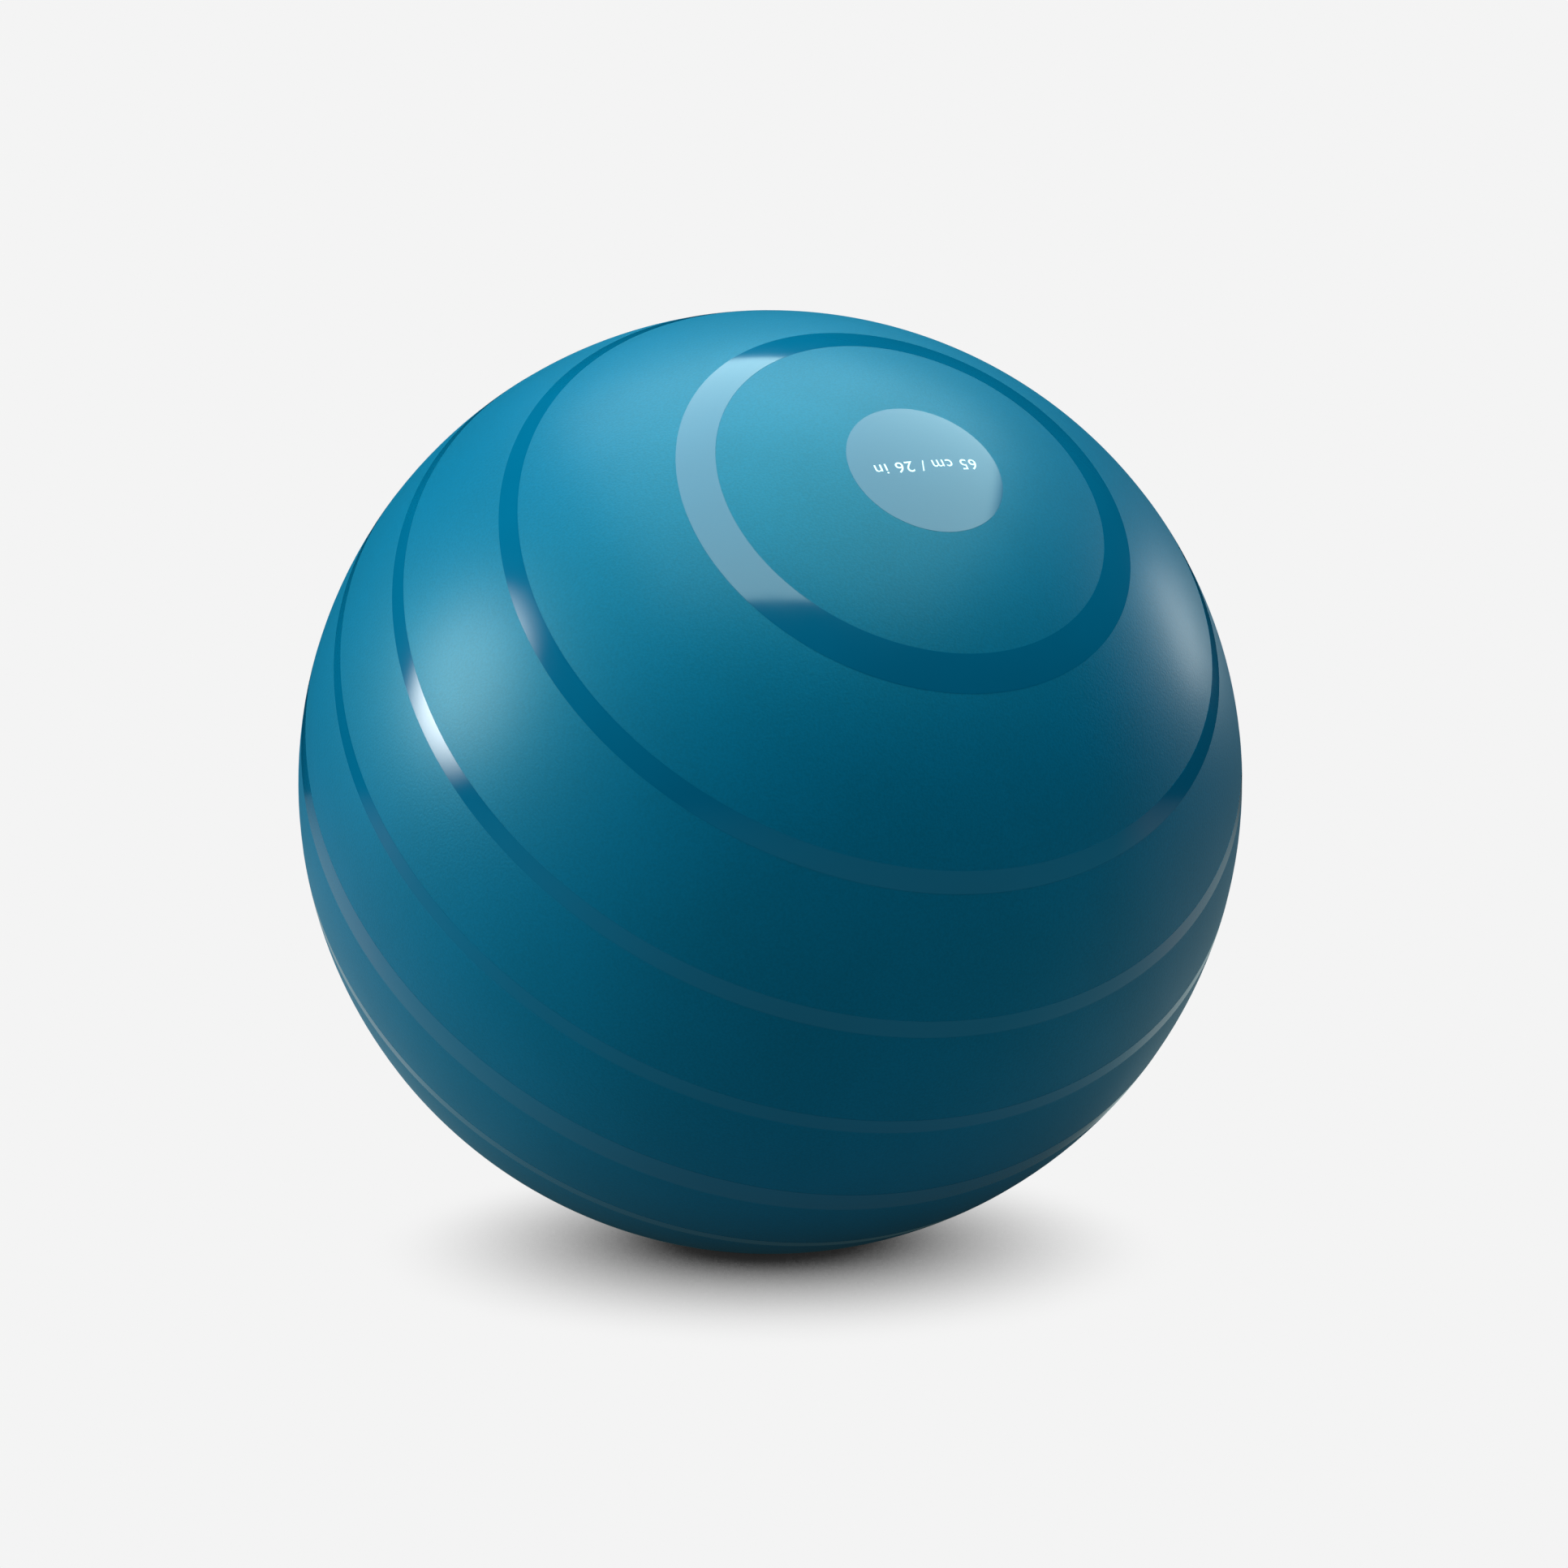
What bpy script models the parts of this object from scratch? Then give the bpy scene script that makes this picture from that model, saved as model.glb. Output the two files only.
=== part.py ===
"""Inflatable exercise ball: a hollow vinyl skin with polished bands, its air valve's seat and the plug.

Metres, +Z up. The ball stands on the plane Z = 0 with its contact patch over the origin.
"""

import math

import bmesh
import bpy
from mathutils import Vector

# The inflated ball, and how it stands
BALL_DIAMETER = 0.650
SKIN_WALL = 0.0008
CONTACT_RADIUS = 0.038  # flat patch pressed on the floor by the ball's own weight
POLE_LEAN = math.radians(51.85)  # lean of the moulding's axis from upright, towards -Y

# Polished zones. Both halves of the moulding are alike
BAND_RISE = 0.0003  # how far a polished zone stands proud of the satin skin
POLE_DISC_RADIUS = 0.0501  # measured along the skin
SATIN_GAPS_DEG = (13.76, 18.09, 14.12, 11.31)  # satin skin in front of each band, from the pole outwards
BAND_WIDTHS = (0.0240, 0.0138, 0.0113, 0.0106)  # measured along the skin, from the pole outwards
EQUATOR_BAND_WIDTH = 0.0200

# Clearance that touching pieces keep
CLEARANCE = 0.0003

# Valve plug, pushed into the seat from outside
PLUG_HEAD_RADIUS = 0.0090
PLUG_HEAD_THICKNESS = 0.0015
PLUG_HEAD_ROUNDING = 0.0004
PLUG_UNDERCUT = 0.0008  # slope under the rim of the head, where a puller catches it
PLUG_LENGTH = 0.0235
PLUG_RIB_COUNT = 3
PLUG_RIB_PITCH = 0.0040
PLUG_RIB_HEIGHT = 0.0006
PLUG_RIB_FACE = 0.0006  # straight crest of a rib
PLUG_RIB_SLOPE = 0.0016  # sloped side of a rib, which leads it into the bore
PLUG_TIP_TAPER = 0.0008  # how much slimmer the shank is at its inner end
PLUG_CORE_RADIUS = 0.0017
PLUG_CORE_DEPTH = 0.0190

# Valve seat, moulded into the skin
PORT_BORE_RADIUS = 0.0042
PORT_LEAD_IN = 0.0005
SEAT_RECESS_CHAMFER = 0.0009
SEAT_COLLAR_WIDTH = 0.0018  # ring that shows between the plug's recess and the skin
SEAT_FLANGE_WIDTH = 0.0070  # how far the flange reaches behind the skin
SEAT_FLANGE_THICKNESS = 0.0016
SEAT_NECK_WALL = 0.0030
SEAT_NECK_FILLET = 0.0025
SEAT_DEPTH = 0.0165

# Facets
SKIN_SEGMENTS = 48
VALVE_SEGMENTS = 32
FACET_ANGLE = math.radians(6.2)  # longest step along the skin from pole to pole
FILLET_STEPS = 4
WELD = 0.000001
SHARP_ANGLE = math.radians(30)

# Sizes that follow from those above
BALL_RADIUS = BALL_DIAMETER / 2
POLE_RADIUS = BALL_RADIUS + BAND_RISE
SKIN_INSIDE = BALL_RADIUS - SKIN_WALL
CENTRE_HEIGHT = math.sqrt(BALL_RADIUS**2 - CONTACT_RADIUS**2)
RECESS_RADIUS = PLUG_HEAD_RADIUS + CLEARANCE
RECESS_DEPTH = PLUG_HEAD_THICKNESS + CLEARANCE
COLLAR_RADIUS = RECESS_RADIUS + SEAT_COLLAR_WIDTH
FLANGE_RADIUS = COLLAR_RADIUS + SEAT_FLANGE_WIDTH
NECK_RADIUS = PORT_BORE_RADIUS + SEAT_NECK_WALL
PORT_HOLE_RADIUS = COLLAR_RADIUS + CLEARANCE
RIB_RADIUS = PORT_BORE_RADIUS - CLEARANCE
SHANK_RADIUS = RIB_RADIUS - PLUG_RIB_HEIGHT

# The floor's direction in the ball's own axes, where +Z is the pole without the valve
FLOOR_WARD = Vector((0, -math.sin(POLE_LEAN), -math.cos(POLE_LEAN)))


def clear_scene():
    for thing in list(bpy.data.objects):
        bpy.data.objects.remove(thing, do_unlink=True)


def make_material(name, colour, roughness):
    material = bpy.data.materials.new(name)
    material.use_nodes = True
    shader = material.node_tree.nodes["Principled BSDF"]
    shader.inputs["Base Color"].default_value = (*colour, 1)
    shader.inputs["Roughness"].default_value = roughness
    shader.inputs["Metallic"].default_value = 0
    return material


def make_empty(name, parent, location, turn_about_x):
    empty = bpy.data.objects.new(name, None)
    empty.parent = parent
    empty.location = location
    empty.rotation_euler = (turn_about_x, 0, 0)
    bpy.context.collection.objects.link(empty)
    return empty


def make_object(name, bm, parent, materials):
    bmesh.ops.recalc_face_normals(bm, faces=bm.faces)
    mesh = bpy.data.meshes.new(name)
    bm.to_mesh(mesh)
    bm.free()
    mesh.shade_smooth()
    mesh.set_sharp_from_angle(angle=SHARP_ANGLE)
    for material in materials:
        mesh.materials.append(material)
    piece = bpy.data.objects.new(name, mesh)
    piece.parent = parent
    bpy.context.collection.objects.link(piece)
    return piece


def turned(profile, segments, closed=False):
    """A mesh turned about Z from a profile of (radius, height) points."""
    bm = bmesh.new()
    points = [bm.verts.new((radius, 0, height)) for radius, height in profile]
    ends = points[1:] + points[:1] if closed else points[1:]
    lines = [bm.edges.new(pair) for pair in zip(points, ends)]
    bmesh.ops.spin(
        bm,
        geom=points + lines,
        cent=(0, 0, 0),
        axis=(0, 0, 1),
        angle=2 * math.pi,
        steps=segments,
        use_merge=True,
    )
    bmesh.ops.remove_doubles(bm, verts=bm.verts, dist=WELD)
    return bm


def arc(centre, radius, start, end, steps):
    """Points of a round stretch of a profile, from one angle to another."""
    angles = [start + (end - start) * step / steps for step in range(steps + 1)]
    return [(centre[0] + radius * math.cos(a), centre[1] + radius * math.sin(a)) for a in angles]


def skin_zones():
    """(start, end, polished) for each zone of the skin, as angles from the pole without the valve."""
    edges = [0, POLE_DISC_RADIUS / BALL_RADIUS]
    for gap, width in zip(SATIN_GAPS_DEG, BAND_WIDTHS):
        edges.append(edges[-1] + math.radians(gap))
        edges.append(edges[-1] + width / BALL_RADIUS)
    edges.append(math.pi / 2 - EQUATOR_BAND_WIDTH / 2 / BALL_RADIUS)
    edges += [math.pi - edge for edge in reversed(edges)]
    edges[-1] = math.pi - math.asin(PORT_HOLE_RADIUS / POLE_RADIUS)
    return [(start, end, place % 2 == 0) for place, (start, end) in enumerate(zip(edges, edges[1:]))]


def zone_angles(start, end):
    steps = math.ceil((end - start) / FACET_ANGLE)
    return [start + (end - start) * step / steps for step in range(steps + 1)]


def on_ball(radius, angle):
    return radius * math.sin(angle), radius * math.cos(angle)


def skin_profile():
    """The wall's section: down the outside to the port, and back up the inside."""
    outside = []
    inside_angles = []
    for start, end, polished in skin_zones():
        radius = POLE_RADIUS if polished else BALL_RADIUS
        angles = zone_angles(start, end)
        outside += [on_ball(radius, angle) for angle in angles]
        inside_angles += angles[:-1]
    inside_angles.append(math.pi - math.asin(PORT_HOLE_RADIUS / SKIN_INSIDE))
    inside = [on_ball(SKIN_INSIDE, angle) for angle in reversed(inside_angles)]
    return outside + inside


def press_flat(bm, faces, distance):
    """Cuts the faces of one side of the wall at the contact patch, and closes the cut with a flat face."""
    edges = {edge for face in faces for edge in face.edges}
    corners = {corner for face in faces for corner in face.verts}
    cut = bmesh.ops.bisect_plane(
        bm,
        geom=[*corners, *edges, *faces],
        dist=WELD,
        plane_co=FLOOR_WARD * distance,
        plane_no=FLOOR_WARD,
        clear_outer=True,
    )
    rim = [part for part in cut["geom_cut"] if isinstance(part, bmesh.types.BMEdge)]
    bmesh.ops.edgeloop_fill(bm, edges=rim)


def make_skin(parent, satin, polished):
    bm = turned(skin_profile(), SKIN_SEGMENTS)
    wall_middle = BALL_RADIUS - SKIN_WALL / 2
    outside = [face for face in bm.faces if all(v.co.length > wall_middle for v in face.verts)]
    inside = [face for face in bm.faces if all(v.co.length < wall_middle for v in face.verts)]
    for face in outside:
        face.material_index = int(all(v.co.length > BALL_RADIUS + BAND_RISE / 2 for v in face.verts))
    press_flat(bm, outside, CENTRE_HEIGHT)
    press_flat(bm, inside, CENTRE_HEIGHT - SKIN_WALL)
    return make_object("ball_skin", bm, parent, [satin, polished])


def below_pole(radius, out):
    """Height of a sphere about the ball's centre, over the port's mouth, at a distance from the port's axis."""
    return math.sqrt(radius**2 - out**2) - POLE_RADIUS


def make_seat(parent, material):
    lip_radius = RECESS_RADIUS + SEAT_RECESS_CHAMFER
    flange_top = below_pole(SKIN_INSIDE, FLANGE_RADIUS) - CLEARANCE
    flange_back = flange_top - SEAT_FLANGE_THICKNESS
    fillet_centre = (NECK_RADIUS + SEAT_NECK_FILLET, flange_back - SEAT_NECK_FILLET)
    profile = [
        (lip_radius, below_pole(POLE_RADIUS, lip_radius)),
        (COLLAR_RADIUS, below_pole(POLE_RADIUS, COLLAR_RADIUS)),
        (COLLAR_RADIUS, below_pole(SKIN_INSIDE, COLLAR_RADIUS) - CLEARANCE),
        (FLANGE_RADIUS, flange_top),
        (FLANGE_RADIUS, flange_back),
        *arc(fillet_centre, SEAT_NECK_FILLET, math.pi / 2, math.pi, FILLET_STEPS),
        (NECK_RADIUS, -SEAT_DEPTH),
        (PORT_BORE_RADIUS + PORT_LEAD_IN, -SEAT_DEPTH),
        (PORT_BORE_RADIUS, -SEAT_DEPTH + PORT_LEAD_IN),
        (PORT_BORE_RADIUS, -RECESS_DEPTH - PORT_LEAD_IN),
        (PORT_BORE_RADIUS + PORT_LEAD_IN, -RECESS_DEPTH),
        (RECESS_RADIUS, -RECESS_DEPTH),
        (RECESS_RADIUS, below_pole(POLE_RADIUS, lip_radius) - SEAT_RECESS_CHAMFER),
    ]
    return make_object("valve_seat", turned(profile, VALVE_SEGMENTS, closed=True), parent, [material])


def rib_profile(top):
    """One sealing rib of the plug's shank, from its top down."""
    return [
        (SHANK_RADIUS, top),
        (RIB_RADIUS, top - PLUG_RIB_HEIGHT),
        (RIB_RADIUS, top - PLUG_RIB_HEIGHT - PLUG_RIB_FACE),
        (SHANK_RADIUS, top - PLUG_RIB_HEIGHT - PLUG_RIB_FACE - PLUG_RIB_SLOPE),
    ]


def make_plug(parent, material):
    rim_radius = PLUG_HEAD_RADIUS - PLUG_HEAD_ROUNDING
    rim_centre = (rim_radius, below_pole(POLE_RADIUS, rim_radius) - PLUG_HEAD_ROUNDING)
    ribs = [
        point
        for rib in range(PLUG_RIB_COUNT)
        for point in rib_profile(-RECESS_DEPTH - PORT_LEAD_IN - PLUG_RIB_PITCH * (rib + 0.25))
    ]
    profile = [
        (0, 0),
        (rim_radius / 2, below_pole(POLE_RADIUS, rim_radius / 2)),
        *arc(rim_centre, PLUG_HEAD_ROUNDING, math.pi / 2, 0, FILLET_STEPS),
        (PLUG_HEAD_RADIUS - PLUG_UNDERCUT, -PLUG_HEAD_THICKNESS),
        (SHANK_RADIUS, -PLUG_HEAD_THICKNESS),
        *ribs,
        (SHANK_RADIUS, -SEAT_DEPTH),
        (SHANK_RADIUS - PLUG_TIP_TAPER, -PLUG_LENGTH),
        (PLUG_CORE_RADIUS, -PLUG_LENGTH),
        (PLUG_CORE_RADIUS, PLUG_CORE_DEPTH - PLUG_LENGTH),
        (0, PLUG_CORE_DEPTH - PLUG_LENGTH),
    ]
    return make_object("valve_plug", turned(profile, VALVE_SEGMENTS), parent, [material])


def main():
    clear_scene()
    satin_vinyl = make_material("satin_vinyl", (0.0, 0.195, 0.300), 0.45)
    polished_vinyl = make_material("polished_vinyl", (0.0, 0.180, 0.285), 0.08)
    seat_vinyl = make_material("seat_vinyl", (0.0, 0.165, 0.262), 0.30)
    plug_plastic = make_material("plug_plastic", (0.80, 0.81, 0.80), 0.35)
    ball_centre = make_empty("ball_centre", None, (0, 0, CENTRE_HEIGHT), POLE_LEAN)
    # The port's mouth: its +Z points out of the ball, the way the plug is pulled
    port_mouth = make_empty("port_mouth", ball_centre, (0, 0, -POLE_RADIUS), math.pi)
    make_skin(ball_centre, satin_vinyl, polished_vinyl)
    make_seat(port_mouth, seat_vinyl)
    make_plug(port_mouth, plug_plastic)


main()
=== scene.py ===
import math

import bmesh
import bpy
from mathutils import Matrix, Vector


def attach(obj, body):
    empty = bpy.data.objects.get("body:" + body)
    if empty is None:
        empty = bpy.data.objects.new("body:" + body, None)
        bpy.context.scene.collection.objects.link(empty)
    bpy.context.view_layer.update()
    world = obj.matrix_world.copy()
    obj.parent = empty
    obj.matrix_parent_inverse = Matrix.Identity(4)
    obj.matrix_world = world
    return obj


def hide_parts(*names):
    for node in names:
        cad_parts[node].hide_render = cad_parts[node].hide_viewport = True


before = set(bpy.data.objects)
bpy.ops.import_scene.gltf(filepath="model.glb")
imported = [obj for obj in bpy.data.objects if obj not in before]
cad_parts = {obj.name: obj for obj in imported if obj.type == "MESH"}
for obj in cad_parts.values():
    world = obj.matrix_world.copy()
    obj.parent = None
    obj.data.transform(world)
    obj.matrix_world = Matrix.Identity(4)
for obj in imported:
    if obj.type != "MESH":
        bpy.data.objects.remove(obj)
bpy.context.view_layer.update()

# An inflated exercise ball on a pale studio floor. Metres, +Z up, with the contact patch over the origin

# The ball and how it stands, in the part's own sizes
BALL_RADIUS = 0.325
SKIN_WALL = 0.0008
CONTACT_RADIUS = 0.038
POLE_LEAN = math.radians(51.85)
POLE_DISC_RADIUS = 0.0501
SATIN_GAPS_DEG = (13.76, 18.09, 14.12, 11.31)
BAND_WIDTHS = (0.0240, 0.0138, 0.0113, 0.0106)
EQUATOR_BAND_WIDTH = 0.0200
BAND_RISE = 0.0003

# The valve, in the part's own sizes
CLEARANCE = 0.0003
PLUG_HEAD_RADIUS = 0.0090
PLUG_HEAD_THICKNESS = 0.0015
PLUG_HEAD_ROUNDING = 0.0004
PLUG_UNDERCUT = 0.0008
PLUG_LENGTH = 0.0235
PLUG_RIB_COUNT = 3
PLUG_RIB_PITCH = 0.0040
PLUG_RIB_HEIGHT = 0.0006
PLUG_RIB_FACE = 0.0006
PLUG_RIB_SLOPE = 0.0016
PLUG_TIP_TAPER = 0.0008
PLUG_CORE_RADIUS = 0.0017
PLUG_CORE_DEPTH = 0.0190
PORT_BORE_RADIUS = 0.0042
PORT_LEAD_IN = 0.0005
SEAT_RECESS_CHAMFER = 0.0009
SEAT_COLLAR_WIDTH = 0.0018
SEAT_FLANGE_WIDTH = 0.0070
SEAT_FLANGE_THICKNESS = 0.0016
SEAT_NECK_WALL = 0.0030
SEAT_NECK_FILLET = 0.0025
SEAT_DEPTH = 0.0165

# Finish of the moulded pieces
FINISH_INSET = 0.00005  # the skin is this much smaller than the solid, to stay inside its flat facets
BAND_STEP = 0.00008  # the mould's polished zones leave the vinyl this much prouder than the blasted ones
PRESS_BLEND = 0.0008  # height over which the skin rolls down onto its contact patch
SEAM_GAP = 0.0001  # hairline between the skin and the valve seat that it is moulded onto
MOULDED_EDGE = 0.00018  # rounding of the valve's edges
EDGE_STEPS = 3

# Sizes of the patterns in the finishes, and the depth of their relief
PIGMENT_DRIFT = 0.060  # the pigment drifts as the vinyl flows round the mould
SATIN_GRAIN = 0.0014  # blasting grit leaves pits of about 0.3 mm, too fine to show, so they are drawn larger
SATIN_GRAIN_DEPTH = 0.00012
SATIN_GRAIN_SHARE = 0.7  # share of the grain, beside the drift, in the satin's changes of tone
SATIN_TONE_RANGE = (0.35, 0.65)  # noise values over which the satin goes from its paler to its deeper tone
POLISH_TRACK = 0.025  # width of a polishing wheel's track
POLISH_WAVE_DEPTH = 0.00002
SEAT_FLOW = 0.004  # flow marks of the injected vinyl
SEAT_GRAIN = 0.0005  # grain of the seat's mould
SEAT_GRAIN_DEPTH = 0.00001
PLUG_FLOW = 0.003  # flow marks of the injected plastic
PLUG_GRAIN = 0.0004  # grain of the plug's mould
PLUG_GRAIN_DEPTH = 0.000006
INK_MOTTLE = 0.001  # the screen's mesh is about 0.2 mm, too fine to show, so its mottle is drawn larger
NOISE_LOW = 0.3  # most of a noise pattern's values lie between these two
NOISE_HIGH = 0.7
PVC_IOR = 1.54
LDPE_IOR = 1.51
INK_IOR = 1.5

# The size mark printed on the pole's disc
PRINT_WORDS = "65 cm / 26 in"
PRINT_SIZE = 0.0119
PRINT_SPACING = 1.1
PRINT_TURN = math.radians(-173.5)
PRINT_THICKNESS = 0.00003
PRINT_SINK = 0.0002  # how far the print's back lies under the skin, so that no edge of it lifts
PRINT_GRID = 0.004  # the print is cut this fine, so that it follows the ball

# Facets
SKIN_SEGMENTS = 224
VALVE_SEGMENTS = 96
SKIN_STEP = math.radians(1.0)
INSIDE_STEP = math.radians(3.0)
FILLET_STEPS = 8
WELD = 0.000001
OUTSIDE_MAP_END = 0.94  # shares of the skin's flat map, from bottom to top
INSIDE_MAP_START = 0.95
SHARP_ANGLE = math.radians(30)

# Sizes that follow from those above
POLE_RADIUS = BALL_RADIUS + BAND_RISE
SKIN_INSIDE = BALL_RADIUS - SKIN_WALL
SATIN_RADIUS = BALL_RADIUS - FINISH_INSET
POLISHED_RADIUS = SATIN_RADIUS + BAND_STEP
CENTRE_HEIGHT = math.sqrt(BALL_RADIUS**2 - CONTACT_RADIUS**2)
RECESS_RADIUS = PLUG_HEAD_RADIUS + CLEARANCE
RECESS_DEPTH = PLUG_HEAD_THICKNESS + CLEARANCE
COLLAR_RADIUS = RECESS_RADIUS + SEAT_COLLAR_WIDTH
FLANGE_RADIUS = COLLAR_RADIUS + SEAT_FLANGE_WIDTH
NECK_RADIUS = PORT_BORE_RADIUS + SEAT_NECK_WALL
PORT_HOLE_RADIUS = COLLAR_RADIUS + SEAM_GAP
RIB_RADIUS = PORT_BORE_RADIUS - CLEARANCE
SHANK_RADIUS = RIB_RADIUS - PLUG_RIB_HEIGHT

# The ball's own axes, whose +Z is the pole without the valve, and the port's, whose +Z is the way out
BALL_AXES = Matrix.Translation((0, 0, CENTRE_HEIGHT)) @ Matrix.Rotation(POLE_LEAN, 4, "X")
PORT_AXES = BALL_AXES @ Matrix.Translation((0, 0, -POLE_RADIUS)) @ Matrix.Rotation(math.pi, 4, "X")
BALL_CENTRE = Vector((0, 0, CENTRE_HEIGHT))

# Camera, set for an image as wide as it is high
CAMERA_AZIMUTH = math.radians(-21.6)
CAMERA_ELEVATION = math.radians(2.5)
CAMERA_DISTANCE = 1.6907
CAMERA_LENS = 55.32
CAMERA_SHIFT_X = 0.0088
CAMERA_SHIFT_Y = -0.00125

# Lamps. Directions are seen from the ball, from the camera's side, with plus to the camera's right
OVERHEAD_HEIGHT = 1.2
OVERHEAD_RIGHT = 0.19
OVERHEAD_FORWARD = 0.506
OVERHEAD_SIZE = (1.76, 1.80)
OVERHEAD_EDGE_SLANT = 0.319  # the lamp's right edge leans in by this much towards the back
OVERHEAD_FADE_START = 1.137  # and fades out softly between these shares of its slanted width
OVERHEAD_FADE_END = 1.194
OVERHEAD_RADIANCE = 4.75
OVERHEAD_COLOUR = "#D7FEFF"
SIDE_DISTANCE = 1.5
SIDE_AZIMUTH = math.radians(-71.0)
SIDE_ELEVATION = math.radians(18.5)
SIDE_SIZE = (1.03, 1.03)
SIDE_RADIANCE = 18.8
SIDE_FADE_START = 0.35  # the lamp's cloth is full up to this share of its half width, and dark at its edge
SIDE_COLOUR = "#F6FFFF"
BACK_DISTANCE = 1.5
BACK_AZIMUTH = math.radians(116.3)
BACK_ELEVATION = math.radians(17.6)
BACK_SIZE = (0.33, 0.38)
BACK_RADIANCE = 8.9
BACK_COLOUR = "#FFFFFF"
REAR_DISTANCE = 1.5
REAR_AZIMUTH = math.radians(180)
REAR_ELEVATION = math.radians(6)
REAR_SIZE = (1.2, 0.6)
REAR_RADIANCE = 6.0
REAR_COLOUR = "#FFFFFF"
LAMP_POWER = math.pi  # watts that give a square metre of an area lamp a radiance of 1

# Floor and backdrop
BACKDROP = "#F4F4F4"
STUDIO_DARK = 0.002
FLOOR_SIZE = 6.0
FLOOR_GLOW_FRONT = "#74F0FF"  # in front, the floor's glow is painted cyan, a painted tint that keeps red out of the lower polished bands' reflections
FLOOR_GLOW_BACK = "#E4FFFF"
FLOOR_TINT_START = -0.2
FLOOR_TINT_END = 0.3
FLOOR_GLOW_RADIANCE = 0.57
FLOOR_GLOW_LEAST = 0.07
FLOOR_GLOW_RIGHT = 0.034  # the ball shades the floor most a little to the right of it and behind it
FLOOR_GLOW_FORWARD = -0.077
FLOOR_GLOW_START = 0.149  # the floor glows from here outwards, because the ball shades what is nearer
FLOOR_GLOW_FULL = 0.469
FLOOR_GLOW_HALF = 3.0  # and has half its glow left this far out
SHADOW_REACH = 0.15
SHADOW_FULL = 0.057  # share of open sky at which the floor's shadow is at its darkest
SHADOW_END = 0.694  # and at which it ends
SHADOW_POWER = 1.94
SHADOW_DEPTH = 0.985
SHADOW_SAMPLES = 32

# Sockets of a Mix node that mixes colours, and of one that mixes plain values
MIX_FACTOR = 0
MIX_A = 6
MIX_B = 7
MIX_RESULT = 2
VALUE_A = 2
VALUE_B = 3
VALUE_RESULT = 0


def linear(hex_colour):
    """An sRGB hex colour as linear red, green, blue and alpha."""
    levels = [int(hex_colour[place : place + 2], 16) / 255 for place in (1, 3, 5)]
    return (*[v / 12.92 if v <= 0.04045 else ((v + 0.055) / 1.055) ** 2.4 for v in levels], 1)


def add_node(tree, kind, inputs=None, **settings):
    """Adds a node. settings are its properties, and inputs are values to set or outputs to link."""
    node = tree.nodes.new(kind)
    for name, value in settings.items():
        setattr(node, name, value)
    for socket, value in (inputs or {}).items():
        if isinstance(value, bpy.types.NodeSocket):
            tree.links.new(value, node.inputs[socket])
        else:
            node.inputs[socket].default_value = value
    return node


def new_material(name):
    """A material with an empty node tree."""
    material = bpy.data.materials.new(name)
    material.use_nodes = True
    material.node_tree.nodes.clear()
    return material, material.node_tree


def satin_vinyl():
    # Soft PVC from a grit-blasted mould: a fine grain that spreads each lamp into a broad, even glow
    material, tree = new_material("satin_moulded_pvc")
    place = add_node(tree, "ShaderNodeTexCoord").outputs["Object"]
    drift = add_node(tree, "ShaderNodeTexNoise", {"Vector": place, "Scale": 1 / PIGMENT_DRIFT, "Detail": 2})
    grain = add_node(tree, "ShaderNodeTexNoise", {"Vector": place, "Scale": 1 / SATIN_GRAIN, "Detail": 1})
    both = add_node(
        tree,
        "ShaderNodeMix",
        {MIX_FACTOR: SATIN_GRAIN_SHARE, VALUE_A: drift.outputs["Fac"], VALUE_B: grain.outputs["Fac"]},
    )
    tone = add_node(
        tree,
        "ShaderNodeMapRange",
        {
            "Value": both.outputs[VALUE_RESULT],
            "From Min": SATIN_TONE_RANGE[0],
            "From Max": SATIN_TONE_RANGE[1],
        },
    )
    colour = add_node(
        tree,
        "ShaderNodeMix",
        {MIX_FACTOR: tone.outputs["Result"], MIX_A: linear("#005A79"), MIX_B: linear("#00536F")},
        data_type="RGBA",
    )
    relief = add_node(
        tree, "ShaderNodeBump", {"Height": grain.outputs["Fac"], "Distance": SATIN_GRAIN_DEPTH}
    )
    gloss = add_node(
        tree,
        "ShaderNodeMapRange",
        {
            "Value": drift.outputs["Fac"],
            "From Min": NOISE_LOW,
            "From Max": NOISE_HIGH,
            "To Min": 0.515,
            "To Max": 0.545,
        },
    )
    shader = add_node(
        tree,
        "ShaderNodeBsdfPrincipled",
        {
            "Base Color": colour.outputs[MIX_RESULT],
            "Roughness": gloss.outputs["Result"],
            "IOR": PVC_IOR,
            "Specular IOR Level": 0.30,
            "Specular Tint": linear("#00FFFF"),
            "Coat Weight": 0.17,
            "Coat Roughness": 0.33,
            "Coat IOR": PVC_IOR,
            "Normal": relief.outputs["Normal"],
        },
    )
    add_node(tree, "ShaderNodeOutputMaterial", {"Surface": shader.outputs["BSDF"]})
    return material


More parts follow.
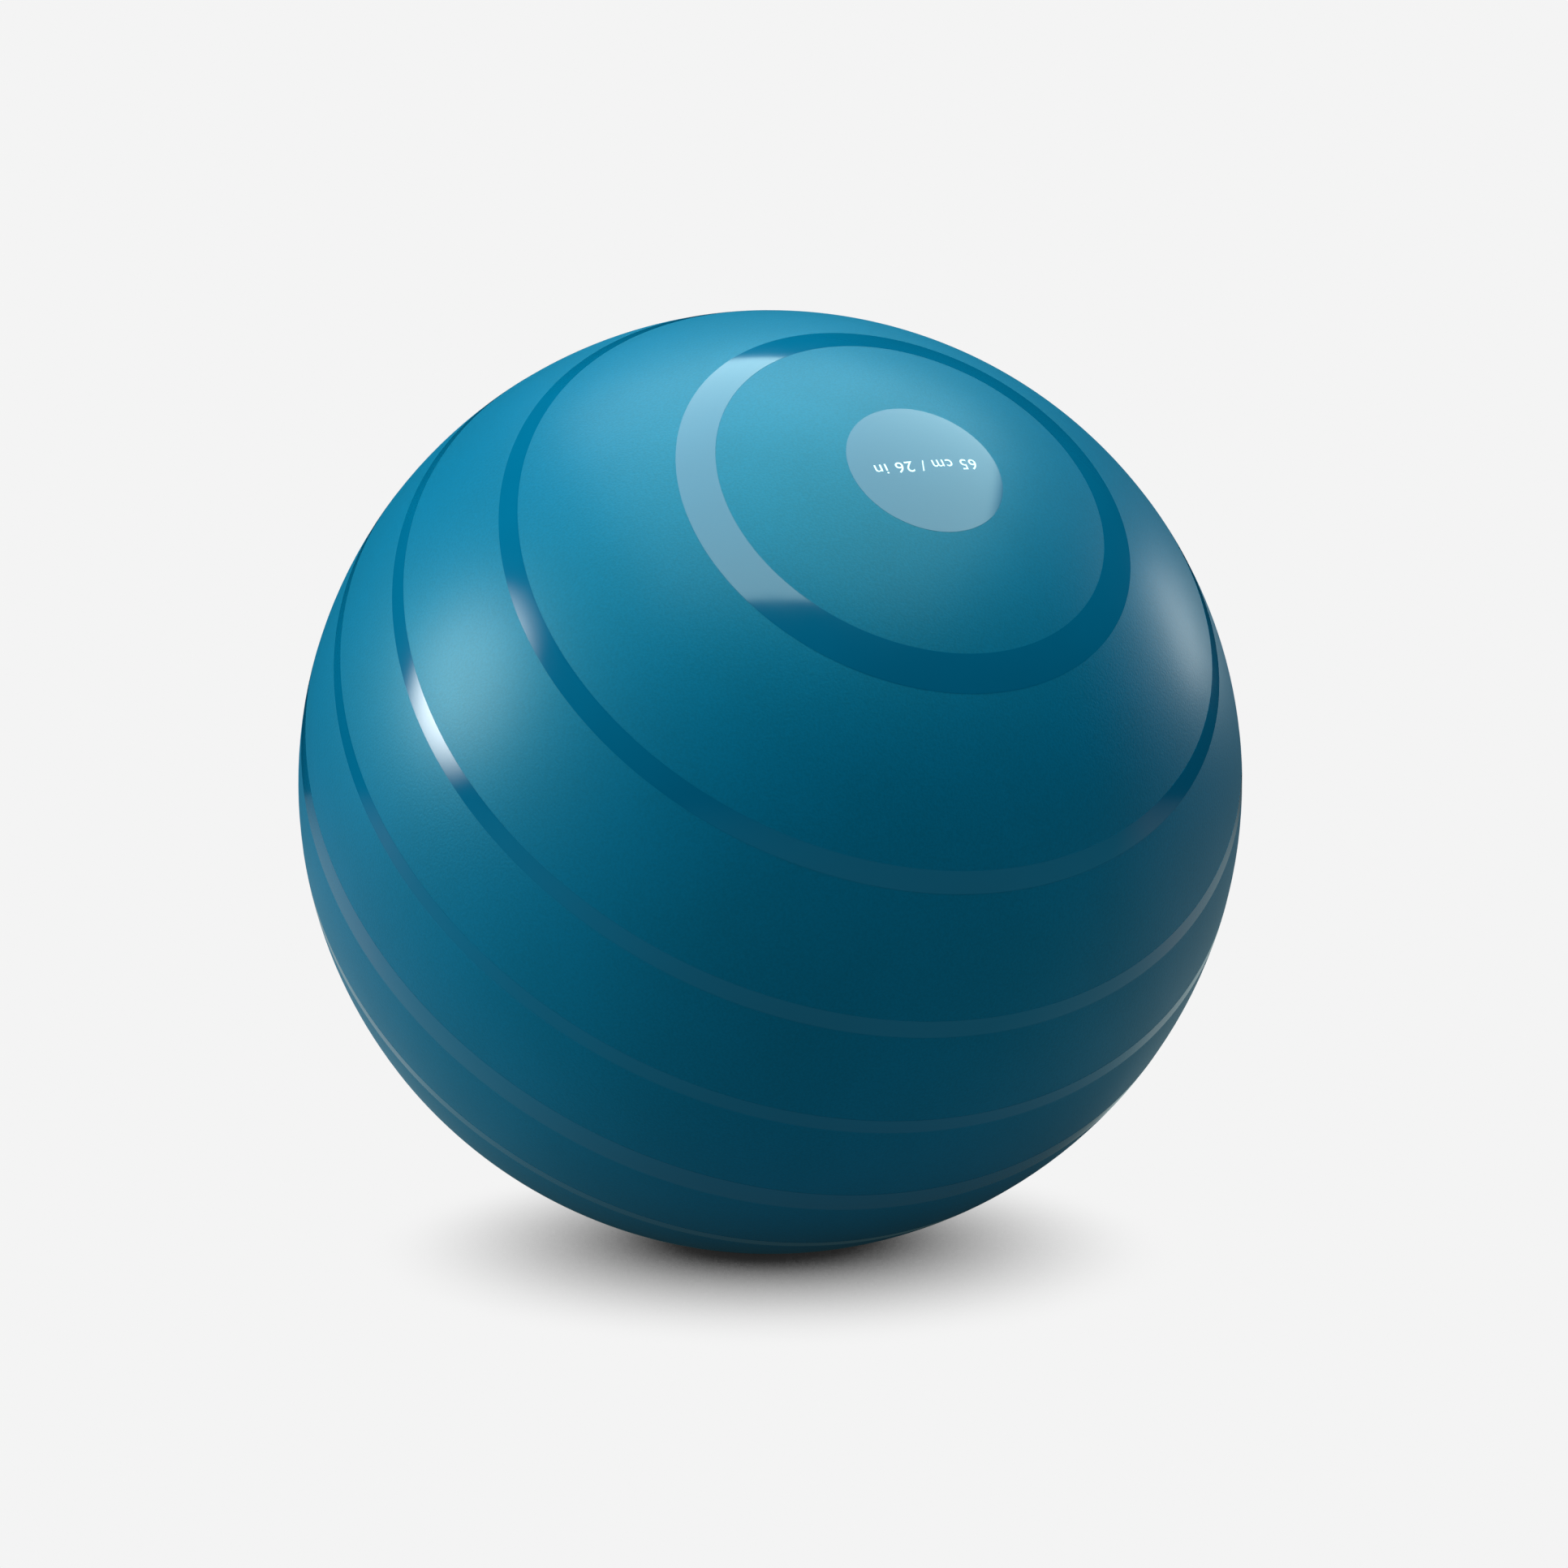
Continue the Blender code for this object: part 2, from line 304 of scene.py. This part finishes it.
def polished_vinyl():
    # The same PVC from the mould's polished bands: nearly a mirror, with a faint haze and long soft waves
    material, tree = new_material("polished_moulded_pvc")
    place = add_node(tree, "ShaderNodeTexCoord").outputs["Object"]
    drift = add_node(tree, "ShaderNodeTexNoise", {"Vector": place, "Scale": 1 / PIGMENT_DRIFT, "Detail": 2})
    colour = add_node(
        tree,
        "ShaderNodeMix",
        {MIX_FACTOR: drift.outputs["Fac"], MIX_A: linear("#005775"), MIX_B: linear("#00516E")},
        data_type="RGBA",
    )
    haze = add_node(tree, "ShaderNodeTexNoise", {"Vector": place, "Scale": 1 / POLISH_TRACK, "Detail": 2})
    gloss = add_node(
        tree,
        "ShaderNodeMapRange",
        {
            "Value": haze.outputs["Fac"],
            "From Min": NOISE_LOW,
            "From Max": NOISE_HIGH,
            "To Min": 0.10,
            "To Max": 0.12,
        },
    )
    relief = add_node(
        tree, "ShaderNodeBump", {"Height": haze.outputs["Fac"], "Distance": POLISH_WAVE_DEPTH}
    )
    shader = add_node(
        tree,
        "ShaderNodeBsdfPrincipled",
        {
            "Base Color": colour.outputs[MIX_RESULT],
            "Roughness": gloss.outputs["Result"],
            "IOR": PVC_IOR,
            "Normal": relief.outputs["Normal"],
        },
    )
    add_node(tree, "ShaderNodeOutputMaterial", {"Surface": shader.outputs["BSDF"]})
    return material


def seat_vinyl():
    # Thicker injection-moulded PVC: a shade deeper than the skin, half glossy, with a soft moulded grain
    material, tree = new_material("injection_moulded_pvc")
    place = add_node(tree, "ShaderNodeTexCoord").outputs["Object"]
    flow = add_node(tree, "ShaderNodeTexNoise", {"Vector": place, "Scale": 1 / SEAT_FLOW, "Detail": 3})
    colour = add_node(
        tree,
        "ShaderNodeMix",
        {MIX_FACTOR: flow.outputs["Fac"], MIX_A: linear("#00526E"), MIX_B: linear("#004B66")},
        data_type="RGBA",
    )
    gloss = add_node(
        tree,
        "ShaderNodeMapRange",
        {
            "Value": flow.outputs["Fac"],
            "From Min": NOISE_LOW,
            "From Max": NOISE_HIGH,
            "To Min": 0.27,
            "To Max": 0.36,
        },
    )
    grain = add_node(tree, "ShaderNodeTexNoise", {"Vector": place, "Scale": 1 / SEAT_GRAIN, "Detail": 1})
    relief = add_node(
        tree, "ShaderNodeBump", {"Height": grain.outputs["Fac"], "Distance": SEAT_GRAIN_DEPTH}
    )
    shader = add_node(
        tree,
        "ShaderNodeBsdfPrincipled",
        {
            "Base Color": colour.outputs[MIX_RESULT],
            "Roughness": gloss.outputs["Result"],
            "IOR": PVC_IOR,
            "Normal": relief.outputs["Normal"],
        },
    )
    add_node(tree, "ShaderNodeOutputMaterial", {"Surface": shader.outputs["BSDF"]})
    return material


def plug_plastic():
    # Injection-moulded LDPE: milky white and waxy, with faint flow marks and a soft gloss
    material, tree = new_material("injection_moulded_ldpe")
    place = add_node(tree, "ShaderNodeTexCoord").outputs["Object"]
    flow = add_node(tree, "ShaderNodeTexNoise", {"Vector": place, "Scale": 1 / PLUG_FLOW, "Detail": 3})
    colour = add_node(
        tree,
        "ShaderNodeMix",
        {MIX_FACTOR: flow.outputs["Fac"], MIX_A: linear("#E9EAE7"), MIX_B: linear("#DFE0DA")},
        data_type="RGBA",
    )
    gloss = add_node(
        tree,
        "ShaderNodeMapRange",
        {
            "Value": flow.outputs["Fac"],
            "From Min": NOISE_LOW,
            "From Max": NOISE_HIGH,
            "To Min": 0.32,
            "To Max": 0.42,
        },
    )
    grain = add_node(tree, "ShaderNodeTexNoise", {"Vector": place, "Scale": 1 / PLUG_GRAIN, "Detail": 1})
    relief = add_node(
        tree, "ShaderNodeBump", {"Height": grain.outputs["Fac"], "Distance": PLUG_GRAIN_DEPTH}
    )
    shader = add_node(
        tree,
        "ShaderNodeBsdfPrincipled",
        {
            "Base Color": colour.outputs[MIX_RESULT],
            "Roughness": gloss.outputs["Result"],
            "IOR": LDPE_IOR,
            "Normal": relief.outputs["Normal"],
        },
    )
    add_node(tree, "ShaderNodeOutputMaterial", {"Surface": shader.outputs["BSDF"]})
    return material


def white_ink():
    # Screen-printed vinyl ink: flat white, a little thinner where the screen's mesh held it back
    material, tree = new_material("screen_printed_ink")
    place = add_node(tree, "ShaderNodeTexCoord").outputs["Object"]
    mottle = add_node(tree, "ShaderNodeTexNoise", {"Vector": place, "Scale": 1 / INK_MOTTLE, "Detail": 2})
    colour = add_node(
        tree,
        "ShaderNodeMix",
        {MIX_FACTOR: mottle.outputs["Fac"], MIX_A: linear("#F4F7F7"), MIX_B: linear("#E3ECEE")},
        data_type="RGBA",
    )
    gloss = add_node(
        tree,
        "ShaderNodeMapRange",
        {
            "Value": mottle.outputs["Fac"],
            "From Min": NOISE_LOW,
            "From Max": NOISE_HIGH,
            "To Min": 0.35,
            "To Max": 0.45,
        },
    )
    shader = add_node(
        tree,
        "ShaderNodeBsdfPrincipled",
        {"Base Color": colour.outputs[MIX_RESULT], "Roughness": gloss.outputs["Result"], "IOR": INK_IOR},
    )
    add_node(tree, "ShaderNodeOutputMaterial", {"Surface": shader.outputs["BSDF"]})
    return material


def turned(profile, segments, closed=False):
    """A mesh turned about Z from a profile of (radius, height) points."""
    bm = bmesh.new()
    points = [bm.verts.new((radius, 0, height)) for radius, height in profile]
    ends = points[1:] + points[:1] if closed else points[1:]
    lines = [bm.edges.new(pair) for pair in zip(points, ends)]
    bmesh.ops.spin(
        bm,
        geom=points + lines,
        cent=(0, 0, 0),
        axis=(0, 0, 1),
        angle=2 * math.pi,
        steps=segments,
        use_merge=True,
    )
    bmesh.ops.remove_doubles(bm, verts=bm.verts, dist=WELD)
    bmesh.ops.recalc_face_normals(bm, faces=bm.faces)
    return bm


def round_edges(bm):
    """Rounds the sharp edges of a moulded piece."""
    sharp = [edge for edge in bm.edges if edge.calc_face_angle() > SHARP_ANGLE]
    bmesh.ops.bevel(
        bm,
        geom=sharp,
        offset=MOULDED_EDGE,
        affect="EDGES",
        segments=EDGE_STEPS,
        profile=0.5,
        material=-1,
        clamp_overlap=True,
    )
    bmesh.ops.remove_doubles(bm, verts=bm.verts, dist=WELD)
    bmesh.ops.recalc_face_normals(bm, faces=bm.faces)


def finish_piece(name, bm, place, materials, body):
    """Puts a mesh in its place, shaded smooth, and lets it ride on a body."""
    bmesh.ops.transform(bm, matrix=place, verts=bm.verts)
    mesh = bpy.data.meshes.new(name)
    bm.to_mesh(mesh)
    bm.free()
    mesh.shade_smooth()
    mesh.set_sharp_from_angle(angle=SHARP_ANGLE)
    for material in materials:
        mesh.materials.append(material)
    piece = bpy.data.objects.new(name, mesh)
    bpy.context.scene.collection.objects.link(piece)
    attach(piece, body)
    return piece


def arc(centre, radius, start, end, steps):
    """Points of a round stretch of a profile, from one angle to another."""
    angles = [start + (end - start) * step / steps for step in range(steps + 1)]
    return [(centre[0] + radius * math.cos(a), centre[1] + radius * math.sin(a)) for a in angles]


def skin_zones():
    """(start, end, polished) for each zone of the skin, as angles from the pole without the valve."""
    edges = [0, POLE_DISC_RADIUS / BALL_RADIUS]
    for gap, width in zip(SATIN_GAPS_DEG, BAND_WIDTHS):
        edges.append(edges[-1] + math.radians(gap))
        edges.append(edges[-1] + width / BALL_RADIUS)
    edges.append(math.pi / 2 - EQUATOR_BAND_WIDTH / 2 / BALL_RADIUS)
    edges += [math.pi - edge for edge in reversed(edges)]
    edges[-1] = math.pi - math.asin(PORT_HOLE_RADIUS / POLISHED_RADIUS)
    return [(start, end, place % 2 == 0) for place, (start, end) in enumerate(zip(edges, edges[1:]))]


def zone_angles(start, end):
    """Steps across a zone that shrink towards its edges, so that reflections stay true up to them."""
    steps = math.ceil((end - start) / SKIN_STEP * math.pi / 2)
    middle = (start + end) / 2
    return [middle - (end - start) / 2 * math.cos(math.pi * step / steps) for step in range(steps + 1)]


def on_ball(radius, angle):
    return radius * math.sin(angle), radius * math.cos(angle)


def skin_profile():
    """The wall's section: down the outside to the port, and back up the inside."""
    outside = []
    for start, end, polished in skin_zones():
        radius = POLISHED_RADIUS if polished else SATIN_RADIUS
        outside += [on_ball(radius, angle) for angle in zone_angles(start, end)]
    port = math.pi - math.asin(PORT_HOLE_RADIUS / SKIN_INSIDE)
    steps = math.ceil(port / INSIDE_STEP)
    inside = [on_ball(SKIN_INSIDE, port * (steps - step) / steps) for step in range(steps + 1)]
    return outside + inside


def press_on_floor(bm):
    """Lets the ball's weight press both sides of its wall flat on the floor."""
    wall_middle = BALL_RADIUS - SKIN_WALL / 2
    for corner in bm.verts:
        inside = (corner.co - BALL_CENTRE).length < wall_middle
        floor = SKIN_WALL if inside else 0
        over = corner.co.z - floor
        if over < PRESS_BLEND:
            corner.co.z = floor + max(over + PRESS_BLEND, 0) ** 2 / (4 * PRESS_BLEND)


def lay_out_map(bm):
    """Lays the turned skin out flat in the map OFBake, with the outside below the inside."""
    layer = bm.loops.layers.uv.new("OFBake")
    wall_middle = (SKIN_INSIDE + SATIN_RADIUS) / 2
    for face in bm.faces:
        middle = face.calc_center_median()
        turn = math.atan2(middle.y, middle.x)
        base, share = 0, OUTSIDE_MAP_END
        if middle.length < wall_middle:
            base, share = INSIDE_MAP_START, 1 - INSIDE_MAP_START
        for loop in face.loops:
            x, y, z = loop.vert.co
            away = math.hypot(x, y)
            step = math.atan2(y, x) - turn if away > WELD else 0
            step = (step + math.pi) % (2 * math.pi) - math.pi
            round_share = 0.5 + (turn + step) / (2 * math.pi)
            pole_share = math.atan2(away, z) / math.pi
            loop[layer].uv = (round_share, base + share * pole_share)


def make_skin(satin, polished):
    bm = turned(skin_profile(), SKIN_SEGMENTS)
    lay_out_map(bm)
    polished_from = (POLISHED_RADIUS + SATIN_RADIUS) / 2
    for face in bm.faces:
        face.material_index = int(all(corner.co.length > polished_from for corner in face.verts))
    bmesh.ops.transform(bm, matrix=BALL_AXES, verts=bm.verts)
    press_on_floor(bm)
    piece = finish_piece("inflated_skin", bm, Matrix.Identity(4), [satin, polished], "ball")
    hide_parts("ball_skin")


def below_pole(radius, out):
    """Height over the port's mouth of a sphere round the ball's centre, this far out from the port's axis."""
    return math.sqrt(radius**2 - out**2) - POLE_RADIUS


def make_seat(material):
    lip_radius = RECESS_RADIUS + SEAT_RECESS_CHAMFER
    flange_top = below_pole(SKIN_INSIDE, FLANGE_RADIUS)
    flange_back = flange_top - SEAT_FLANGE_THICKNESS
    fillet_centre = (NECK_RADIUS + SEAT_NECK_FILLET, flange_back - SEAT_NECK_FILLET)
    profile = [
        (lip_radius, below_pole(POLISHED_RADIUS, lip_radius)),
        (COLLAR_RADIUS, below_pole(POLISHED_RADIUS, COLLAR_RADIUS)),
        (COLLAR_RADIUS, below_pole(SKIN_INSIDE, COLLAR_RADIUS) - CLEARANCE),
        (FLANGE_RADIUS, flange_top - CLEARANCE),
        (FLANGE_RADIUS, flange_back),
        *arc(fillet_centre, SEAT_NECK_FILLET, math.pi / 2, math.pi, FILLET_STEPS),
        (NECK_RADIUS, -SEAT_DEPTH),
        (PORT_BORE_RADIUS + PORT_LEAD_IN, -SEAT_DEPTH),
        (PORT_BORE_RADIUS, -SEAT_DEPTH + PORT_LEAD_IN),
        (PORT_BORE_RADIUS, -RECESS_DEPTH - PORT_LEAD_IN),
        (PORT_BORE_RADIUS + PORT_LEAD_IN, -RECESS_DEPTH),
        (RECESS_RADIUS, -RECESS_DEPTH),
        (RECESS_RADIUS, below_pole(POLISHED_RADIUS, lip_radius) - SEAT_RECESS_CHAMFER),
    ]
    bm = turned(profile, VALVE_SEGMENTS, closed=True)
    round_edges(bm)
    piece = finish_piece("moulded_seat", bm, PORT_AXES, [material], "ball")
    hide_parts("valve_seat")


def rib_profile(top):
    """One sealing rib of the plug's shank, from its top down."""
    return [
        (SHANK_RADIUS, top),
        (RIB_RADIUS, top - PLUG_RIB_HEIGHT),
        (RIB_RADIUS, top - PLUG_RIB_HEIGHT - PLUG_RIB_FACE),
        (SHANK_RADIUS, top - PLUG_RIB_HEIGHT - PLUG_RIB_FACE - PLUG_RIB_SLOPE),
    ]


def make_plug(material):
    rim_radius = PLUG_HEAD_RADIUS - PLUG_HEAD_ROUNDING
    rim_centre = (rim_radius, below_pole(POLISHED_RADIUS, rim_radius) - PLUG_HEAD_ROUNDING)
    ribs = [
        point
        for rib in range(PLUG_RIB_COUNT)
        for point in rib_profile(-RECESS_DEPTH - PORT_LEAD_IN - PLUG_RIB_PITCH * (rib + 0.25))
    ]
    profile = [
        (0, below_pole(POLISHED_RADIUS, 0)),
        (rim_radius / 2, below_pole(POLISHED_RADIUS, rim_radius / 2)),
        *arc(rim_centre, PLUG_HEAD_ROUNDING, math.pi / 2, 0, FILLET_STEPS),
        (PLUG_HEAD_RADIUS - PLUG_UNDERCUT, -PLUG_HEAD_THICKNESS),
        (SHANK_RADIUS, -PLUG_HEAD_THICKNESS),
        *ribs,
        (SHANK_RADIUS, -SEAT_DEPTH),
        (SHANK_RADIUS - PLUG_TIP_TAPER, -PLUG_LENGTH),
        (PLUG_CORE_RADIUS, -PLUG_LENGTH),
        (PLUG_CORE_RADIUS, PLUG_CORE_DEPTH - PLUG_LENGTH),
        (0, PLUG_CORE_DEPTH - PLUG_LENGTH),
    ]
    bm = turned(profile, VALVE_SEGMENTS)
    round_edges(bm)
    piece = finish_piece("push_in_plug", bm, PORT_AXES, [material], "plug")
    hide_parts("valve_plug")


def print_outline():
    """The size mark as a flat mesh about the origin."""
    words = bpy.data.curves.new("size_print", "FONT")
    words.body = PRINT_WORDS
    words.size = PRINT_SIZE
    words.space_character = PRINT_SPACING
    words.align_x = "CENTER"
    words.align_y = "CENTER"
    text = bpy.data.objects.new("size_print_words", words)
    bpy.context.scene.collection.objects.link(text)
    filled = text.evaluated_get(bpy.context.evaluated_depsgraph_get())
    flat = bpy.data.meshes.new_from_object(filled)
    bm = bmesh.new()
    bm.from_mesh(flat)
    bpy.data.meshes.remove(flat)
    bpy.data.objects.remove(text)
    bpy.data.curves.remove(words)
    bmesh.ops.remove_doubles(bm, verts=bm.verts, dist=WELD)
    return bm


def make_print(material):
    bm = print_outline()
    reach = math.ceil(POLE_DISC_RADIUS / PRINT_GRID)
    for axis in (Vector((1, 0, 0)), Vector((0, 1, 0))):
        for line in range(-reach, reach + 1):
            bmesh.ops.bisect_plane(
                bm,
                geom=[*bm.verts, *bm.edges, *bm.faces],
                dist=WELD,
                plane_co=axis * line * PRINT_GRID,
                plane_no=axis,
            )
    for corner in bm.verts:
        out = math.hypot(corner.co.x, corner.co.y)
        corner.co.z = math.sqrt((POLISHED_RADIUS + PRINT_THICKNESS) ** 2 - out**2)
    back = bmesh.ops.extrude_face_region(bm, geom=bm.faces[:], use_keep_orig=True)["geom"]
    sunk = [part for part in back if isinstance(part, bmesh.types.BMVert)]
    bmesh.ops.translate(bm, vec=(0, 0, -PRINT_THICKNESS - PRINT_SINK), verts=sunk)
    bmesh.ops.recalc_face_normals(bm, faces=bm.faces)
    place = BALL_AXES @ Matrix.Rotation(PRINT_TURN, 4, "Z")
    finish_piece("size_print", bm, place, [material], "ball")


def from_camera_side(azimuth, elevation):
    """A direction seen from the ball, by its angles from the camera's side."""
    turn = CAMERA_AZIMUTH + azimuth
    level = math.cos(elevation)
    return Vector((math.sin(turn) * level, -math.cos(turn) * level, math.sin(elevation)))


def make_camera():
    camera = bpy.data.objects.new("camera", bpy.data.cameras.new("camera"))
    bpy.context.scene.collection.objects.link(camera)
    back = from_camera_side(0, CAMERA_ELEVATION)
    camera.location = BALL_CENTRE + back * CAMERA_DISTANCE
    camera.rotation_euler = (-back).to_track_quat("-Z", "Y").to_euler()
    camera.data.lens = CAMERA_LENS
    camera.data.shift_x = CAMERA_SHIFT_X
    camera.data.shift_y = CAMERA_SHIFT_Y
    bpy.context.scene.camera = camera


def add_softbox(name, place, facing, size, radiance, colour, shape="RECTANGLE"):
    """A soft lamp that the camera doesn't see."""
    lamp = bpy.data.lights.new(name, "AREA")
    lamp.shape = shape
    lamp.size = size[0]
    lamp.size_y = size[1]
    area = size[0] * size[1] * (math.pi / 4 if shape == "ELLIPSE" else 1)
    lamp.energy = LAMP_POWER * radiance * area
    lamp.color = linear(colour)[:3]
    softbox = bpy.data.objects.new(name, lamp)
    softbox.location = place
    softbox.rotation_euler = facing.to_track_quat("-Z", "Y").to_euler()
    softbox.visible_camera = False
    bpy.context.scene.collection.objects.link(softbox)
    return softbox


def fade_cloth(lamp, operation, vector, start, end):
    """Lets a lamp's cloth fade out between two values of a measure taken across it."""
    lamp.use_nodes = True
    tree = lamp.node_tree
    tree.nodes.clear()
    across = add_node(tree, "ShaderNodeNewGeometry").outputs["Parametric"]
    measure = add_node(tree, "ShaderNodeVectorMath", {0: across, 1: vector}, operation=operation)
    fade = add_node(
        tree,
        "ShaderNodeMapRange",
        {
            "Value": measure.outputs["Value"],
            "From Min": start,
            "From Max": end,
            "To Min": 1,
            "To Max": 0,
        },
        interpolation_type="SMOOTHSTEP",
    )
    cloth = add_node(tree, "ShaderNodeEmission", {"Strength": fade.outputs["Result"]})
    add_node(tree, "ShaderNodeOutputLight", {"Surface": cloth.outputs["Emission"]})


def make_lamps():
    overhead = add_softbox(
        "overhead_softbox",
        BALL_CENTRE
        + Vector((0, 0, OVERHEAD_HEIGHT))
        + from_camera_side(0, 0) * OVERHEAD_FORWARD
        + from_camera_side(math.pi / 2, 0) * OVERHEAD_RIGHT,
        Vector((0, 0, -1)),
        OVERHEAD_SIZE,
        OVERHEAD_RADIANCE,
        OVERHEAD_COLOUR,
    )
    overhead.rotation_euler = (0, 0, CAMERA_AZIMUTH)
    slanted = (1, OVERHEAD_EDGE_SLANT, 0)
    fade_cloth(overhead.data, "DOT_PRODUCT", slanted, OVERHEAD_FADE_START, OVERHEAD_FADE_END)
    side = from_camera_side(SIDE_AZIMUTH, SIDE_ELEVATION)
    cloth = add_softbox(
        "side_softbox",
        BALL_CENTRE + side * SIDE_DISTANCE,
        -side,
        SIDE_SIZE,
        SIDE_RADIANCE,
        SIDE_COLOUR,
        "ELLIPSE",
    )
    middle = (0.5, 0.5, 0)
    edge = 0.5
    fade_cloth(cloth.data, "DISTANCE", middle, SIDE_FADE_START * edge, edge)
    back = from_camera_side(BACK_AZIMUTH, BACK_ELEVATION)
    add_softbox(
        "back_softbox",
        BALL_CENTRE + back * BACK_DISTANCE,
        -back,
        BACK_SIZE,
        BACK_RADIANCE,
        BACK_COLOUR,
    )
    # Fills the side with the valve, and shows in no reflection
    rear = from_camera_side(REAR_AZIMUTH, REAR_ELEVATION)
    fill = add_softbox(
        "rear_softbox",
        BALL_CENTRE + rear * REAR_DISTANCE,
        -rear,
        REAR_SIZE,
        REAR_RADIANCE,
        REAR_COLOUR,
    )
    fill.visible_glossy = False


def make_world():
    # The camera sees a pale backdrop. With no metal or glass, the polished bands show a dark studio
    world = bpy.data.worlds.new("studio")
    world.use_nodes = True
    bpy.context.scene.world = world
    tree = world.node_tree
    tree.nodes.clear()
    rays = add_node(tree, "ShaderNodeLightPath")
    pale = add_node(tree, "ShaderNodeBackground", {"Color": linear(BACKDROP), "Strength": 1})
    dark = add_node(tree, "ShaderNodeBackground", {"Color": linear("#FFFFFF"), "Strength": STUDIO_DARK})
    seen = add_node(
        tree,
        "ShaderNodeMixShader",
        {0: rays.outputs["Is Camera Ray"], 1: dark.outputs["Background"], 2: pale.outputs["Background"]},
    )
    add_node(tree, "ShaderNodeOutputWorld", {"Surface": seen.outputs["Shader"]})


def floor_paper():
    # Matt backdrop paper, as pale as the backdrop, with a soft shadow that gathers under the ball
    material, tree = new_material("matt_backdrop_paper")
    rays = add_node(tree, "ShaderNodeLightPath")
    open_sky = add_node(
        tree, "ShaderNodeAmbientOcclusion", {"Distance": SHADOW_REACH}, samples=SHADOW_SAMPLES
    )
    shade = add_node(
        tree,
        "ShaderNodeMapRange",
        {
            "Value": open_sky.outputs["AO"],
            "From Min": SHADOW_FULL,
            "From Max": SHADOW_END,
            "To Min": 1,
            "To Max": 0,
        },
    )
    gathered = add_node(
        tree, "ShaderNodeMath", {0: shade.outputs["Result"], 1: SHADOW_POWER}, operation="POWER"
    )
    light = add_node(
        tree,
        "ShaderNodeMapRange",
        {"Value": gathered.outputs[0], "To Min": 1, "To Max": 1 - SHADOW_DEPTH},
    )
    pale = add_node(
        tree, "ShaderNodeEmission", {"Color": linear(BACKDROP), "Strength": light.outputs["Result"]}
    )
    # What the ball sees of the floor: a glow that starts outside the ball's own shade and fades with distance
    place = add_node(tree, "ShaderNodeTexCoord").outputs["Object"]
    shaded = from_camera_side(0, 0) * FLOOR_GLOW_FORWARD
    shaded += from_camera_side(math.pi / 2, 0) * FLOOR_GLOW_RIGHT
    distance = add_node(tree, "ShaderNodeVectorMath", {0: place, 1: shaded}, operation="DISTANCE")
    far = distance.outputs["Value"]
    start = add_node(
        tree,
        "ShaderNodeMapRange",
        {
            "Value": far,
            "From Min": FLOOR_GLOW_START,
            "From Max": FLOOR_GLOW_FULL,
            "To Min": FLOOR_GLOW_LEAST,
            "To Max": FLOOR_GLOW_RADIANCE,
        },
        interpolation_type="SMOOTHSTEP",
    )
    halves = add_node(tree, "ShaderNodeMath", {0: far, 1: FLOOR_GLOW_HALF}, operation="DIVIDE")
    spread = add_node(
        tree, "ShaderNodeMath", {0: halves.outputs[0], 1: halves.outputs[0], 2: 1}, operation="MULTIPLY_ADD"
    )
    fade = add_node(
        tree, "ShaderNodeMath", {0: start.outputs["Result"], 1: spread.outputs[0]}, operation="DIVIDE"
    )
    forward = add_node(
        tree, "ShaderNodeVectorMath", {0: place, 1: from_camera_side(0, 0)}, operation="DOT_PRODUCT"
    )
    front = add_node(
        tree,
        "ShaderNodeMapRange",
        {"Value": forward.outputs["Value"], "From Min": FLOOR_TINT_START, "From Max": FLOOR_TINT_END},
    )
    # The glow is painted cyan in front and near white behind: a painted tint of the light that the polished
    # bands reflect
    tint = add_node(
        tree,
        "ShaderNodeMix",
        {
            MIX_FACTOR: front.outputs["Result"],
            MIX_A: linear(FLOOR_GLOW_BACK),
            MIX_B: linear(FLOOR_GLOW_FRONT),
        },
        data_type="RGBA",
    )
    glow = add_node(
        tree, "ShaderNodeEmission", {"Color": tint.outputs[MIX_RESULT], "Strength": fade.outputs[0]}
    )
    top = add_node(
        tree,
        "ShaderNodeMixShader",
        {0: rays.outputs["Is Camera Ray"], 1: glow.outputs["Emission"], 2: pale.outputs["Emission"]},
    )
    # From below, the floor lets the ball's underside show
    side = add_node(tree, "ShaderNodeNewGeometry")
    clear = add_node(tree, "ShaderNodeBsdfTransparent")
    sheet = add_node(
        tree,
        "ShaderNodeMixShader",
        {0: side.outputs["Backfacing"], 1: top.outputs["Shader"], 2: clear.outputs["BSDF"]},
    )
    add_node(tree, "ShaderNodeOutputMaterial", {"Surface": sheet.outputs["Shader"]})
    return material


def make_floor():
    bm = bmesh.new()
    bmesh.ops.create_grid(bm, x_segments=1, y_segments=1, size=FLOOR_SIZE)
    mesh = bpy.data.meshes.new("floor")
    bm.to_mesh(mesh)
    bm.free()
    mesh.materials.append(floor_paper())
    floor = bpy.data.objects.new("floor", mesh)
    bpy.context.scene.collection.objects.link(floor)


bpy.context.scene.view_settings.view_transform = "Standard"
make_camera()
make_skin(satin_vinyl(), polished_vinyl())
make_seat(seat_vinyl())
make_plug(plug_plastic())
make_print(white_ink())
make_world()
make_floor()
make_lamps()
